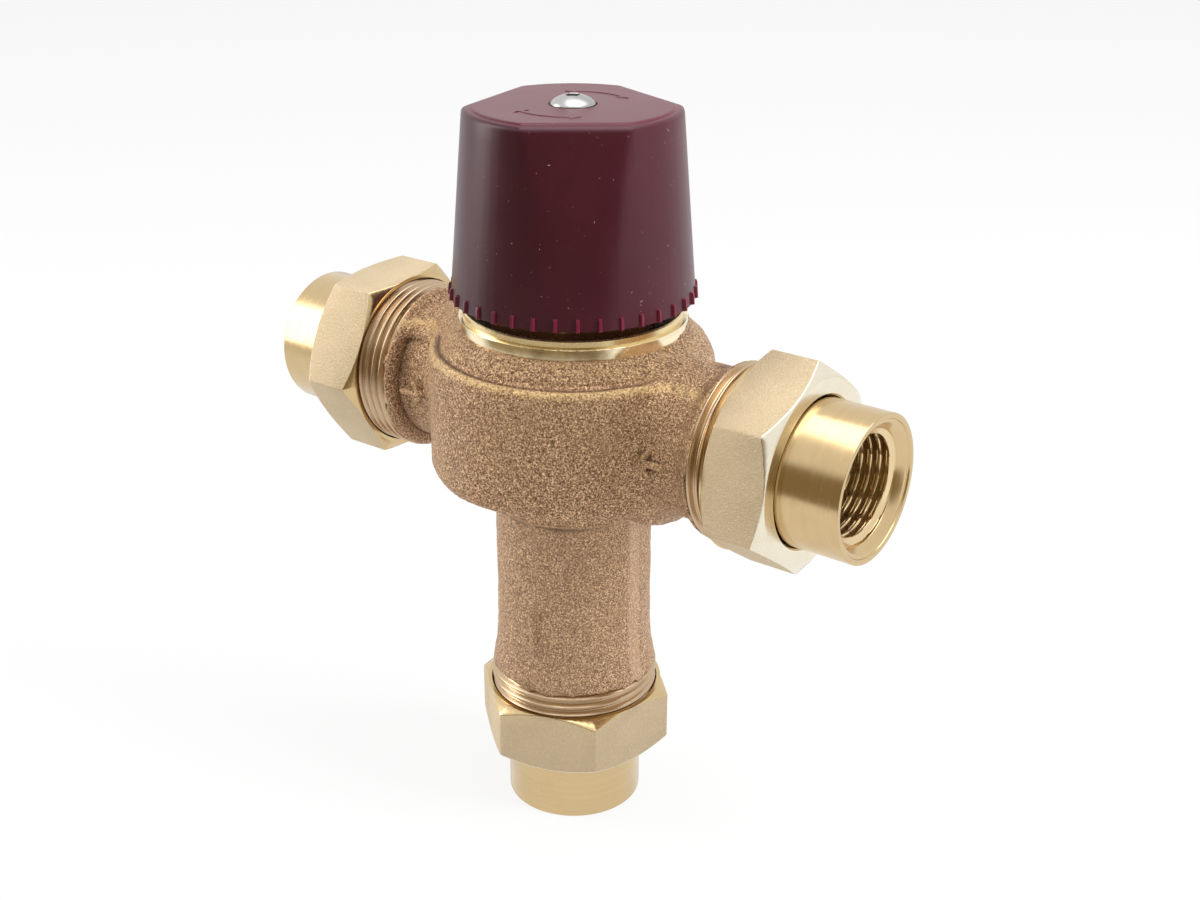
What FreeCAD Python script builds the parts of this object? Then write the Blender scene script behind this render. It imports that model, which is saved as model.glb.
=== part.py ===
import FreeCAD, Part
import math
import os

# Three-way tempering valve with union ends. Lengths are millimetres.
# Everything is laid out from the crossing of the port axis (X) and the stem axis (Z).
# When a piece is saved it is raised, so the file's origin is the mixed outlet's end face.

V = FreeCAD.Vector
ORIGIN = V(0, 0, 0)
X = V(1, 0, 0)
Y = V(0, 1, 0)
Z = V(0, 0, 1)

# ---------------------------------------------------------------- fits
running = 0.05          # radial gap of a turning or sliding fit
parting = 0.05          # axial gap between faces that come apart in use
assembly = 0.10         # gap of a joint that is put together by hand
stop_gap = 0.35         # left over at the end of a travel

# ---------------------------------------------------------------- body casting
side_reach = 45.8       # crossing to the gasket face of a side port
down_reach = 65.0       # crossing to the gasket face of the outlet
barrel_r = 27.3
barrel_top = 11.3
barrel_foot = -10.5
collar_r = 21.4         # machined collar under the bonnet
collar_top = 18.5
collar_height = 2.0
foot_round = 2.4
underside_drop = 3.0    # fall of the barrel's underside towards the neck
neck_fillet = 2.4
lobe_r = 14.6           # swelling of the barrel over each side port's passage
lobe_end = 22.0
lobe_offset = 3.8       # down on the hot side and up on the cold side
neck_r = 15.2           # outlet neck
boss_r = 14.4           # side port neck
union_thread_r = 16.56
thread_pitch = 25.4 / 14
thread_lead = 0.45 * thread_pitch   # chamfer at the start of a male thread
cast_end = {"hot": 36.9, "cold": 34.5, "mixed": 55.5}

# ---------------------------------------------------------------- chambers
chamber_r = 17.0
web_bore_r = 13.05      # the shuttle slides here
web_top = 1.8
web_foot = -5.6
lower_chamber_r = 15.6
lower_chamber_foot = -14.5
seat_pocket_foot = -17.0
outlet_r = 11.0
port_bore_r = 11.0
stem_well_r = 8.0       # behind each check valve, for the poppet's stem
stem_well_depth = 3.0
passage_r = 4.1
passage_mouth_r = 9.0
passage_height = {"hot": -10.0, "cold": 6.0}

# ---------------------------------------------------------------- bonnet
bonnet_thread_r = 17.9
bonnet_thread_foot = 10.0
bonnet_skirt_r = 14.0
flange_r = 20.7
flange_height = 1.5
wrench_flats = 28.0
wrench_height = 8.0
dome_r = 12.4
dome_height = 4.0
stem_tower_r = 7.4
stem_tower_top = 44.3
seal_wire_r = 0.85
seal_cover = 0.7        # metal left above the bonnet's seal

# ---------------------------------------------------------------- adjusting train
cup_flats = 16.0
cup_foot = 10.0
cup_height = 15.8
cup_bore_r = 6.6
cup_roof = 2.3
cup_lift = 1.25         # travel of the cup each way
spindle_r = 4.0
spindle_thread_r = 3.5
spindle_thread_length = 7.9
spindle_flange_r = 6.5
spindle_flange_height = 1.9
spindle_flats = 6.4
spindle_top = 54.6
spindle_seal_r = 0.75
clip_thick = 0.8
overload_lift = 1.5     # the plunger gives way this far
plunger_thick = 1.65
overload_wire_r = 0.65
overload_mean_r = 5.25
piston_r = 1.6
element_r = 5.5
element_flange_r = 7.4
element_flange_height = 1.55
element_guide_r = 3.2
element_guide_height = 6.0
element_length = 20.0
stroke = 2.0            # travel of the element as its wax melts
shuttle_r = 12.95
shuttle_wall = 1.6
shuttle_top = 4.0
shuttle_plate_top = 1.0
shuttle_plate = 2.5
shuttle_seal_height = -1.6
shuttle_seal_r = 0.525
seat_height = 3.4
seat_r = 12.6
seat_mouth_r = 9.9
return_wire_r = 0.6
return_mean_r = 8.2

# ---------------------------------------------------------------- cap
cap_foot = 22.2
cap_top = 57.3
cap_foot_r = 22.7
cap_top_r = 19.8
cap_wall = 2.2
cap_roof = 2.4
cap_turn = -51.0        # bearing of the first of the three flats
cap_edge = 1.2          # rounding of the top edge
cap_hub_r = 6.4
cap_recess_r = 4.35
cap_recess_depth = 0.3
rib_count = 36
rib_width = 0.75
rib_height = 2.4
rib_proud = 0.5
screw_r = 2.0
screw_head_r = 4.05
screw_head_height = 2.1
screw_length = 11.0
socket_flats = 2.5
socket_depth = 1.3

# ---------------------------------------------------------------- unions
nut_flats = 34.5
nut_length = 12.7
nut_corner = 0.8
nut_shoulder = 3.2
nut_turn = {"hot": 54.4, "cold": 26.4, "mixed": 40.6}
gasket_thick = 1.5
gasket_r = 15.9
gasket_hole_r = 9.6
tail_r = 13.5
tail_collar_r = 16.2
tail_collar_thick = 2.35
tail_length = {"hot": 17.55, "cold": 17.55, "mixed": 18.65}
tail_edge = 0.35
waterway_r = 8.0
pipe_thread_r = 9.85    # pitch radius of a half-inch taper pipe thread
pipe_thread_length = 13.6
pipe_thread_mouth_r = 11.75

# ---------------------------------------------------------------- check valves
housing_r = 10.9
housing_wall = 1.3
housing_seat_hole_r = 6.0
housing_seat_thick = 3.6
housing_guide_thick = 1.9
poppet_r = 7.6
poppet_thick = 1.7
poppet_stem_r = 1.5
poppet_lift = 3.0
poppet_seal_thick = 0.4
check_wire_r = 0.3
check_mean_r = 4.0
check_spring_short = 8.0        # its length with the poppet fully open
screen_thick = 0.5
screen_hole = 2.0
screen_bar = 0.8

# ---------------------------------------------------------------- worked out from the above
axis_height = down_reach + gasket_thick + parting + tail_length["mixed"]
bonnet_foot = shuttle_top + cup_lift + overload_lift + stop_gap
shuttle_foot = seat_pocket_foot + seat_height + cup_lift + stroke + stop_gap
cup_top = cup_foot + cup_height
spindle_flange_foot = cup_top + cup_lift + stop_gap
roof_inner = spindle_flange_foot + spindle_flange_height + assembly
spindle_seal_height = (roof_inner + stem_tower_top) / 2
clip_groove_foot = stem_tower_top + assembly
cup_clip_foot = cup_foot + 0.7
plunger_foot = cup_clip_foot + clip_thick + parting
plunger_top = plunger_foot + plunger_thick
check_train = poppet_thick + poppet_seal_thick + parting + housing_seat_thick
port_bore_depth = (parting + housing_guide_thick + check_spring_short + poppet_lift
                   + check_train + assembly)


# ---------------------------------------------------------------- helpers
def cylinder(radius, low, high):
    return Part.makeCylinder(radius, high - low, V(0, 0, low), Z)


def ring(outer_r, inner_r, low, high):
    return cylinder(outer_r, low, high).cut(cylinder(inner_r, low - 1, high + 1))


def turned(points):
    """Turn an outline of (radius, height) points about Z.

    A point with four numbers bends: the line passes the first pair and ends at the second."""
    edges = []
    here = points[0]
    for step in points[1:] + points[:1]:
        start = V(here[0], 0, here[1])
        end = V(step[-2], 0, step[-1])
        if len(step) == 4:
            edges.append(Part.Arc(start, V(step[0], 0, step[1]), end).toShape())
        else:
            edges.append(Part.LineSegment(start, end).toShape())
        here = step[-2:]
    return Part.Face(Part.Wire(edges)).revolve(ORIGIN, Z, 360)


def hexagon(flats, low, high, turn=0.0):
    corner_r = flats / math.sqrt(3)
    bearings = [math.radians(turn + 60 * k) for k in range(7)]
    corners = [V(corner_r * math.cos(b), corner_r * math.sin(b), low) for b in bearings]
    return Part.Face(Part.makePolygon(corners)).extrude(V(0, 0, high - low))


def o_ring(centre_r, wire_r, height):
    """A round-section seal, turned from an eight-sided section to stay light."""
    corners = []
    for k in range(8):
        a = math.radians(22.5 + 45 * k)
        corners.append((centre_r + wire_r * math.cos(a), height + wire_r * math.sin(a)))
    return turned(corners)


def coil(mean_r, wire_r, low, high, turns):
    """A spring between two heights; its wire has six sides to stay light."""
    climb = high - low - 2 * wire_r
    path = Part.makeHelix(climb / turns, climb, mean_r)
    corners = []
    for k in range(7):
        a = math.radians(60 * k)
        corners.append(V(mean_r + wire_r * math.cos(a), 0, wire_r * math.sin(a)))
    spring = Part.Wire(path).makePipeShell([Part.makePolygon(corners)], True, True)
    spring.translate(V(0, 0, low + wire_r))
    return spring


def on_circle(shape, count, start=0.0):
    """Copies of one shape spaced evenly round Z."""
    copies = []
    for k in range(count):
        copy = shape.copy()
        copy.rotate(ORIGIN, Z, start + 360.0 * k / count)
        copies.append(copy)
    return copies


def facing(shape, port):
    """Turn a piece that was built along +Z so that it points out of its port."""
    piece = shape.copy()
    if port == "hot":
        piece.rotate(ORIGIN, Y, 90)
    if port == "cold":
        piece.rotate(ORIGIN, Y, -90)
    if port == "mixed":
        piece.rotate(ORIGIN, X, 180)
    return piece


def save(name, shape):
    piece = shape.copy()
    piece.translate(V(0, 0, axis_height))
    piece.exportStep("parts/" + name + ".step")


def reach(port):
    return down_reach if port == "mixed" else side_reach


# ---------------------------------------------------------------- body casting
def barrel_blank():
    """Outlet neck, barrel and collar, turned about the stem axis."""
    top = collar_top - collar_height
    under = barrel_foot - foot_round - underside_drop
    bend = 1 - math.sqrt(0.5)
    return turned([
        (0, -down_reach),
        (union_thread_r - thread_lead, -down_reach),
        (union_thread_r, thread_lead - down_reach),
        (union_thread_r, -cast_end["mixed"]),
        (neck_r + 0.3, 5 - cast_end["mixed"], neck_r, 10 - cast_end["mixed"]),
        (neck_r, under - neck_fillet),
        (neck_r + bend * neck_fillet, under - bend * neck_fillet, neck_r + neck_fillet, under),
        (barrel_r - foot_round, barrel_foot - foot_round),
        (barrel_r - bend * foot_round, barrel_foot - (1 - bend) * foot_round,
         barrel_r, barrel_foot),
        (barrel_r, barrel_top),
        (barrel_r - 0.4, barrel_top + 1.1),
        (barrel_r - 1.6, barrel_top + 1.6),
        (collar_r + 0.8, top - 0.2),
        (collar_r, top),
        (collar_r, collar_top),
        (0, collar_top),
    ])


def side_blank(port):
    """One half of the cross bar: neck, rim and male thread, turned about the port axis."""
    rim = cast_end[port] - 1.7
    blank = turned([
        (0, 0),
        (boss_r, 0),
        (boss_r, rim - 1.2),
        (boss_r + 0.8, rim),
        (union_thread_r, rim + 0.7),
        (union_thread_r, side_reach - thread_lead),
        (union_thread_r - thread_lead, side_reach),
        (0, side_reach),
    ])
    return facing(blank, port)


def lobe(port):
    """The barrel's swelling over a port's passage, set off the port axis."""
    swelling = turned([
        (0, 0),
        (lobe_r, 0),
        (lobe_r, lobe_end),
        (lobe_r - 1.2, lobe_end + 3.4, lobe_r - 4.4, lobe_end + 6.2),
        (0, lobe_end + 6.2),
    ])
    swelling.translate(V(lobe_offset, 0, 0))
    return facing(swelling, port)


def passage(port):
    """The cored way from a side port's bore into its own chamber."""
    side = 1 if port == "hot" else -1
    mouth = V(side * (side_reach - port_bore_depth + 0.3), 0, 0)
    way = V(side * (chamber_r - 2.5), 0, passage_height[port]) - mouth
    return Part.makeCone(passage_mouth_r, passage_r, way.Length, mouth, way)


def stem_well():
    """Room behind a check valve for its poppet's stem to lift into."""
    floor = side_reach - port_bore_depth
    return cylinder(stem_well_r, floor - stem_well_depth, floor + parting)


def body_casting():
    sides = [side_blank("hot"), side_blank("cold"), lobe("hot"), lobe("cold")]
    body = barrel_blank().fuse(sides).removeSplitter()
    cuts = [
        cylinder(bonnet_thread_r + running, bonnet_thread_foot - 0.5, collar_top + 1),
        cylinder(chamber_r, web_top, bonnet_thread_foot - 0.5),
        cylinder(web_bore_r, lower_chamber_foot, web_top),
        cylinder(lower_chamber_r, lower_chamber_foot, web_foot),
        cylinder(seat_r + running, seat_pocket_foot, lower_chamber_foot),
        cylinder(outlet_r, -down_reach - 1, seat_pocket_foot),
    ]
    for port in ("hot", "cold"):
        bore = cylinder(port_bore_r, side_reach - port_bore_depth, side_reach + 1)
        cuts.append(facing(bore, port))
        cuts.append(facing(stem_well(), port))
        cuts.append(passage(port))
    return body.cut(cuts)


# ---------------------------------------------------------------- bonnet
def bonnet():
    flange_foot = collar_top
    flange_top = flange_foot + flange_height
    groove_top = flange_foot - seal_cover
    groove_foot = groove_top - 2 * seal_wire_r
    groove_r = bonnet_thread_r - 2 * seal_wire_r
    roof = flange_top + wrench_height + dome_height
    lower = turned([
        (0, bonnet_foot),
        (bonnet_skirt_r, bonnet_foot),
        (bonnet_skirt_r, bonnet_thread_foot),
        (bonnet_thread_r, bonnet_thread_foot),
        (bonnet_thread_r, groove_foot),
        (groove_r, groove_foot),
        (groove_r, groove_top),
        (bonnet_thread_r, groove_top),
        (bonnet_thread_r, flange_foot),
        (flange_r, flange_foot),
        (flange_r, flange_top - 0.25),
        (flange_r - 0.25, flange_top),
        (0, flange_top),
    ])
    corner_r = wrench_flats / math.sqrt(3)
    wrench = hexagon(wrench_flats, flange_top, flange_top + wrench_height)
    rounding = turned([
        (0, flange_top),
        (corner_r, flange_top),
        (corner_r, flange_top + wrench_height - 1.2),
        (corner_r - 2.1, flange_top + wrench_height),
        (0, flange_top + wrench_height),
    ])
    tower = turned([
        (0, flange_top),
        (dome_r, flange_top),
        (dome_r, roof - 2),
        (dome_r - 2, roof),
        (stem_tower_r, roof),
        (stem_tower_r, stem_tower_top - 0.5),
        (stem_tower_r - 0.5, stem_tower_top),
        (0, stem_tower_top),
    ])
    shell = lower.fuse([wrench.common(rounding), tower])
    guide = hexagon(cup_flats + 2 * running, bonnet_foot - 1, roof_inner)
    stem_hole = cylinder(spindle_r + running, roof_inner - 1, stem_tower_top + 1)
    return shell.cut([guide, stem_hole])


def bonnet_o_ring():
    centre_r = bonnet_thread_r - seal_wire_r
    return o_ring(centre_r, seal_wire_r, collar_top - seal_cover - seal_wire_r)


# ---------------------------------------------------------------- adjusting train
def spindle():
    thread_foot = spindle_flange_foot - spindle_thread_length
    flange_top = spindle_flange_foot + spindle_flange_height
    groove_r = spindle_r - 2 * spindle_seal_r
    shaft = turned([
        (0, thread_foot),
        (spindle_thread_r - 0.5, thread_foot),
        (spindle_thread_r, thread_foot + 0.5),
        (spindle_thread_r, spindle_flange_foot),
        (spindle_flange_r, spindle_flange_foot),
        (spindle_flange_r, flange_top),
        (spindle_r, flange_top),
        (spindle_r, spindle_seal_height - spindle_seal_r),
        (groove_r, spindle_seal_height - spindle_seal_r),
        (groove_r, spindle_seal_height + spindle_seal_r),
        (spindle_r, spindle_seal_height + spindle_seal_r),
        (spindle_r, clip_groove_foot),
        (spindle_r - 0.7, clip_groove_foot),
        (spindle_r - 0.7, clip_groove_foot + clip_thick),
        (spindle_r, clip_groove_foot + clip_thick),
        (spindle_r, clip_groove_foot + clip_thick + 0.7),
        (0, clip_groove_foot + clip_thick + 0.7),
    ])
    drive = hexagon(spindle_flats, clip_groove_foot + clip_thick, spindle_top)
    hole_foot = cap_top - cap_recess_depth - screw_length - 0.5
    return shaft.fuse(drive).cut(cylinder(screw_r + running, hole_foot, spindle_top + 1))


def spindle_o_ring():
    return o_ring(spindle_r - spindle_seal_r, spindle_seal_r, spindle_seal_height)


def spindle_clip():
    clip = ring(spindle_r + 1.8, spindle_r - 0.65, clip_groove_foot, clip_groove_foot + clip_thick)
    mouth = Part.makeBox(spindle_r + 3, 4.0, 3, V(0, -2.0, clip_groove_foot - 1))
    return clip.cut(mouth)


def spring_cup():
    cup = hexagon(cup_flats, cup_foot, cup_top)
    bore = cylinder(cup_bore_r, cup_foot - 1, cup_top - cup_roof)
    thread = cylinder(spindle_thread_r + running, cup_foot, cup_top + 1)
    groove = cylinder(cup_bore_r + 0.5, cup_clip_foot, cup_clip_foot + clip_thick)
    return cup.cut([bore, thread, groove])


def cup_clip():
    clip = ring(cup_bore_r + 0.45, cup_bore_r - 1.2, cup_clip_foot, cup_clip_foot + clip_thick)
    mouth = Part.makeBox(cup_bore_r + 2, 3.0, 3, V(0, -1.5, cup_clip_foot - 1))
    return clip.cut(mouth)


def overload_plunger():
    socket_top = plunger_foot + 0.8
    disc = turned([
        (0, plunger_foot - 0.9),
        (2.8, plunger_foot - 0.9),
        (2.8, plunger_foot),
        (cup_bore_r - assembly, plunger_foot),
        (cup_bore_r - assembly, plunger_top),
        (overload_mean_r - 1.65, plunger_top),
        (overload_mean_r - 2.0, plunger_top + 1.4),
        (0, plunger_top + 1.4),
    ])
    return disc.cut(cylinder(piston_r + running, plunger_foot - 2, socket_top))


def overload_spring():
    return coil(overload_mean_r, overload_wire_r, plunger_top, cup_top - cup_roof, 4.5)


def element_piston():
    return cylinder(piston_r, shuttle_plate_top + 2, plunger_foot + 0.8)


def thermal_element():
    flange_foot = shuttle_plate_top + parting
    flange_top = flange_foot + element_flange_height
    guide_top = flange_top + element_guide_height
    tip = flange_foot - element_length
    capsule = turned([
        (0, tip),
        (element_r - 1.6, tip + 0.5, element_r, tip + 2.2),
        (element_r, flange_foot),
        (element_flange_r, flange_foot),
        (element_flange_r, flange_top),
        (element_guide_r + 0.8, flange_top + 0.5),
        (element_guide_r, flange_top + 1.6),
        (element_guide_r, guide_top),
        (0, guide_top),
    ])
    return capsule.cut(cylinder(piston_r + running, shuttle_plate_top + 1.95, guide_top + 1))


def shuttle():
    inner_r = shuttle_r - shuttle_wall
    groove_r = web_bore_r - 2 * shuttle_seal_r
    sleeve = turned([
        (inner_r, shuttle_foot),
        (shuttle_r - 0.4, shuttle_foot),
        (shuttle_r, shuttle_foot + 0.4),
        (shuttle_r, shuttle_seal_height - shuttle_seal_r),
        (groove_r, shuttle_seal_height - shuttle_seal_r),
        (groove_r, shuttle_seal_height + shuttle_seal_r),
        (shuttle_r, shuttle_seal_height + shuttle_seal_r),
        (shuttle_r, shuttle_top - 0.4),
        (shuttle_r - 0.4, shuttle_top),
        (inner_r, shuttle_top),
    ])
    plate_foot = shuttle_plate_top - shuttle_plate
    plate = ring(inner_r + 0.2, element_r + running, plate_foot, shuttle_plate_top)
    hole = Part.makeCylinder(1.9, shuttle_plate + 2, V(8.6, 0, plate_foot - 1), Z)
    return sleeve.fuse(plate).cut(on_circle(hole, 6))


def shuttle_o_ring():
    return o_ring(web_bore_r - shuttle_seal_r, shuttle_seal_r, shuttle_seal_height)


def lower_seat():
    low = seat_pocket_foot
    top = low + seat_height
    rim = ring(seat_r, seat_mouth_r, low, top)
    shelf = ring(return_mean_r + 0.8, return_mean_r - 0.8, low, low + 1.2)
    arm = Part.makeBox(seat_mouth_r - return_mean_r, 2.4, 1.2, V(return_mean_r + 0.3, -1.2, low))
    return rim.fuse([shelf] + on_circle(arm, 3, 30)).removeSplitter()


def return_spring():
    plate_foot = shuttle_plate_top - shuttle_plate
    return coil(return_mean_r, return_wire_r, seat_pocket_foot + 1.2, plate_foot, 5)


# ---------------------------------------------------------------- cap
def cap_outline(radius, height, flats):
    """Closed outline of the cap: three flats between three arcs, or a plain circle in six arcs."""
    def at(bearing):
        a = math.radians(cap_turn + bearing)
        return V(radius * math.cos(a), radius * math.sin(a), height)

    edges = []
    for k in range(3):
        middle = 120 * k
        if flats:
            edges.append(Part.LineSegment(at(middle - 30), at(middle + 30)).toShape())
        else:
            edges.append(Part.Arc(at(middle - 30), at(middle), at(middle + 30)).toShape())
        edges.append(Part.Arc(at(middle + 30), at(middle + 60), at(middle + 90)).toShape())
    return Part.Wire(edges)


def cap():
    outer = Part.makeLoft([cap_outline(cap_foot_r, cap_foot, False),
                           cap_outline(cap_top_r, cap_top, True)], True, True)
    rim = [e for e in outer.Edges if e.BoundBox.ZMin > cap_top - 0.01]
    outer = outer.makeFillet(cap_edge, rim)
    ceiling = cap_top - cap_roof
    inner = Part.makeLoft([cap_outline(cap_foot_r - cap_wall, cap_foot - 0.01, False),
                           cap_outline(cap_top_r - cap_wall, ceiling, True)], True, True)
    hub = cylinder(cap_hub_r, clip_groove_foot + clip_thick + 1.2, ceiling + 0.5)
    rib = Part.makeBox(1.0 + rib_proud, rib_width, rib_height,
                       V(cap_foot_r - 1.0, -rib_width / 2, cap_foot))
    ribs = on_circle(rib, rib_count, cap_turn + 0.4)
    shell = outer.cut(inner).fuse([hub] + ribs).removeSplitter()
    drive = hexagon(spindle_flats + 2 * running, cap_foot, spindle_top + running)
    screw_hole = cylinder(screw_r + assembly, cap_foot, cap_top + 1)
    recess = cylinder(cap_recess_r, cap_top - cap_recess_depth, cap_top + 1)
    return shell.cut([drive, screw_hole, recess])


def cap_screw():
    seat = cap_top - cap_recess_depth
    head = turned([
        (0, seat - screw_length),
        (screw_r - 0.3, seat - screw_length),
        (screw_r, seat - screw_length + 0.4),
        (screw_r, seat),
        (screw_head_r, seat),
        (screw_head_r, seat + 0.35),
        (screw_head_r * 0.72, seat + screw_head_height * 0.78, 0, seat + screw_head_height),
    ])
    socket_foot = seat + screw_head_height - socket_depth
    return head.cut(hexagon(socket_flats, socket_foot, seat + screw_head_height + 1))


# ---------------------------------------------------------------- unions
def union_stack(port):
    """Heights along a port: gasket face, collar face, nut inner end, nut outer end."""
    face = reach(port)
    collar = face + gasket_thick + parting
    nut_outer = collar + tail_collar_thick + assembly + nut_shoulder
    return face, collar, nut_outer - nut_length, nut_outer


def union_nut(port):
    inner, outer = union_stack(port)[2:]
    flat_r = nut_flats / 2
    corner_r = nut_flats / math.sqrt(3)
    prism = hexagon(nut_flats, inner, outer, nut_turn[port])
    corners = [e for e in prism.Edges if abs(e.BoundBox.ZLength - nut_length) < 0.01]
    prism = prism.makeFillet(nut_corner, corners)
    slope = (corner_r - flat_r + 0.3) * math.tan(math.radians(30))
    envelope = turned([
        (0, inner),
        (flat_r - 0.3, inner),
        (corner_r, inner + slope),
        (corner_r, outer - slope),
        (flat_r - 0.3, outer),
        (0, outer),
    ])
    bore = turned([
        (0, inner - 1),
        (union_thread_r + assembly + 0.3, inner - 1),
        (union_thread_r + assembly + 0.3, inner),
        (union_thread_r + assembly, inner + 0.8),
        (union_thread_r + assembly, outer - nut_shoulder),
        (tail_r + 0.55, outer - nut_shoulder),
        (tail_r + 0.55, outer - 0.3),
        (tail_r + 0.85, outer),
        (tail_r + 0.85, outer + 1),
        (0, outer + 1),
    ])
    return facing(prism.common(envelope).cut(bore), port)


def tailpiece(port):
    collar = union_stack(port)[1]
    end = collar + tail_length[port]
    mouth = end - (pipe_thread_mouth_r - pipe_thread_r)
    thread_foot = end - pipe_thread_length
    tail = turned([
        (waterway_r, collar),
        (tail_collar_r - 0.3, collar),
        (tail_collar_r, collar + 0.3),
        (tail_collar_r, collar + tail_collar_thick),
        (tail_r, collar + tail_collar_thick),
        (tail_r, end - tail_edge),
        (tail_r - tail_edge, end),
        (pipe_thread_mouth_r, end),
        (pipe_thread_r, mouth),
        (pipe_thread_r, thread_foot),
        (waterway_r, thread_foot - 1),
    ])
    return facing(tail, port)


def gasket(port):
    face = reach(port)
    return facing(ring(gasket_r, gasket_hole_r, face, face + gasket_thick), port)


def screen(port):
    """Perforated strainer disc held inside the gasket."""
    face = reach(port)
    low = face + (gasket_thick - screen_thick) / 2
    disc_r = gasket_hole_r - running
    disc = cylinder(disc_r, low, low + screen_thick)
    pitch = screen_hole + screen_bar
    rows = int(disc_r / pitch)
    holes = []
    for i in range(-rows, rows + 1):
        for j in range(-rows, rows + 1):
            if math.hypot(i * pitch, j * pitch) < disc_r - screen_hole:
                corner = V(i * pitch - screen_hole / 2, j * pitch - screen_hole / 2, low - 1)
                holes.append(Part.makeBox(screen_hole, screen_hole, screen_thick + 2, corner))
    return facing(disc.cut(holes), port)


# ---------------------------------------------------------------- check valves
def check_heights():
    """Heights along a side port: housing foot, guide top, seat face, housing top."""
    foot = side_reach - port_bore_depth + parting
    top = side_reach - assembly
    return foot, foot + housing_guide_thick, top - housing_seat_thick, top


def check_housing(port):
    foot, guide_top, seat, top = check_heights()
    chamber = housing_r - housing_wall
    seal_centre = (seat + top) / 2
    shell = turned([
        (poppet_stem_r + running, foot),
        (housing_r - 0.4, foot),
        (housing_r, foot + 0.4),
        (housing_r, seal_centre - 0.75),
        (housing_r - 1.2, seal_centre - 0.75),
        (housing_r - 1.2, seal_centre + 0.75),
        (housing_r, seal_centre + 0.75),
        (housing_r, top),
        (housing_seat_hole_r + 1, top),
        (housing_seat_hole_r, top - 1),
        (housing_seat_hole_r, seat),
        (chamber, seat),
        (chamber, guide_top),
        (poppet_stem_r + running, guide_top),
    ])
    slot = Part.makeCylinder(1.9, housing_guide_thick + 2, V(6.9, 0, foot - 1), Z)
    return facing(shell.cut(on_circle(slot, 6)), port)


def check_o_ring(port):
    seat, top = check_heights()[2:]
    wire_r = (port_bore_r - housing_r + 1.2) / 2
    return facing(o_ring(port_bore_r - wire_r, wire_r, (seat + top) / 2), port)


def check_poppet(port):
    foot, guide_top, seat, top = check_heights()
    head_top = seat - poppet_seal_thick - parting
    head_foot = head_top - poppet_thick
    poppet = turned([
        (0, foot + 0.4),
        (poppet_stem_r, foot + 0.4),
        (poppet_stem_r, head_foot),
        (poppet_r, head_foot),
        (poppet_r, head_top),
        (housing_seat_hole_r - 0.7, head_top),
        (housing_seat_hole_r - 2.4, seat + 1.8),
        (0, seat + 2.4),
    ])
    return facing(poppet, port)


def poppet_seal(port):
    seat = check_heights()[2]
    low = seat - poppet_seal_thick - parting
    seal = ring(poppet_r - 0.1, housing_seat_hole_r - 0.7 + running, low, seat - parting)
    return facing(seal, port)


def check_spring(port):
    foot, guide_top, seat, top = check_heights()
    head_foot = seat - poppet_seal_thick - parting - poppet_thick
    return facing(coil(check_mean_r, check_wire_r, guide_top, head_foot, 5), port)


# ---------------------------------------------------------------- build
os.makedirs("parts", exist_ok=True)
save("body_casting", body_casting())
save("bonnet", bonnet())
save("bonnet_o_ring", bonnet_o_ring())
save("spindle", spindle())
save("spindle_o_ring", spindle_o_ring())
save("spindle_clip", spindle_clip())
save("spring_cup", spring_cup())
save("cup_clip", cup_clip())
save("overload_plunger", overload_plunger())
save("overload_spring", overload_spring())
save("element_piston", element_piston())
save("thermal_element", thermal_element())
save("shuttle", shuttle())
save("shuttle_o_ring", shuttle_o_ring())
save("lower_seat", lower_seat())
save("return_spring", return_spring())
save("adjusting_cap", cap())
save("cap_screw", cap_screw())
for side in ("hot", "cold", "mixed"):
    save(side + "_union_nut", union_nut(side))
    save(side + "_tailpiece", tailpiece(side))
    save(side + "_gasket", gasket(side))
for side in ("hot", "cold"):
    save(side + "_screen", screen(side))
    save(side + "_check_housing", check_housing(side))
    save(side + "_check_o_ring", check_o_ring(side))
    save(side + "_check_poppet", check_poppet(side))
    save(side + "_poppet_seal", poppet_seal(side))
    save(side + "_check_spring", check_spring(side))
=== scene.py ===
import bmesh
import bpy
import math
import numpy as np
import openvdb
from mathutils import Matrix, Vector, noise


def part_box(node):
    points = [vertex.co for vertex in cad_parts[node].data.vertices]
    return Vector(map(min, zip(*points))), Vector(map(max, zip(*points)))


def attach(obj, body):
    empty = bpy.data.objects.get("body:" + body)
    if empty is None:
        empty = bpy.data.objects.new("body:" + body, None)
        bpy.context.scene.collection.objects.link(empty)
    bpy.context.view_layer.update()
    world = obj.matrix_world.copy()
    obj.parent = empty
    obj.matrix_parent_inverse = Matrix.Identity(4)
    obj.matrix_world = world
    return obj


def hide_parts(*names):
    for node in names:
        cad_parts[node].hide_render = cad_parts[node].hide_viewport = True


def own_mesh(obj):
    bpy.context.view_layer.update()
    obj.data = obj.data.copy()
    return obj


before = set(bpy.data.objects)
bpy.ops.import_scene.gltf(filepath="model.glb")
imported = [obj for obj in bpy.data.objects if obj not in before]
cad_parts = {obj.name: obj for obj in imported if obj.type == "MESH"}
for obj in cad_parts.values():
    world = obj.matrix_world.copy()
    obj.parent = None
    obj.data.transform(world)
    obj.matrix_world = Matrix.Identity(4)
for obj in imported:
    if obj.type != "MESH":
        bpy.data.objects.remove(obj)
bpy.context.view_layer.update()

# Three-way tempering valve with union ends. Sizes below are millimetres, turned to metres
# when a mesh is made. A port's own pieces are drawn along +Z from the crossing of the port
# axis and the stem axis, and then turned to face out of their port.
MM = 0.001
PORTS = ("hot", "cold", "mixed")
SIDES = ((1, "hot"), (-1, "cold"))


def span(node, axis=2):
    """Lowest and highest value of a CAD node along one row axis, in millimetres."""
    low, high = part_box(node)
    return low[axis] / MM, high[axis] / MM


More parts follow.
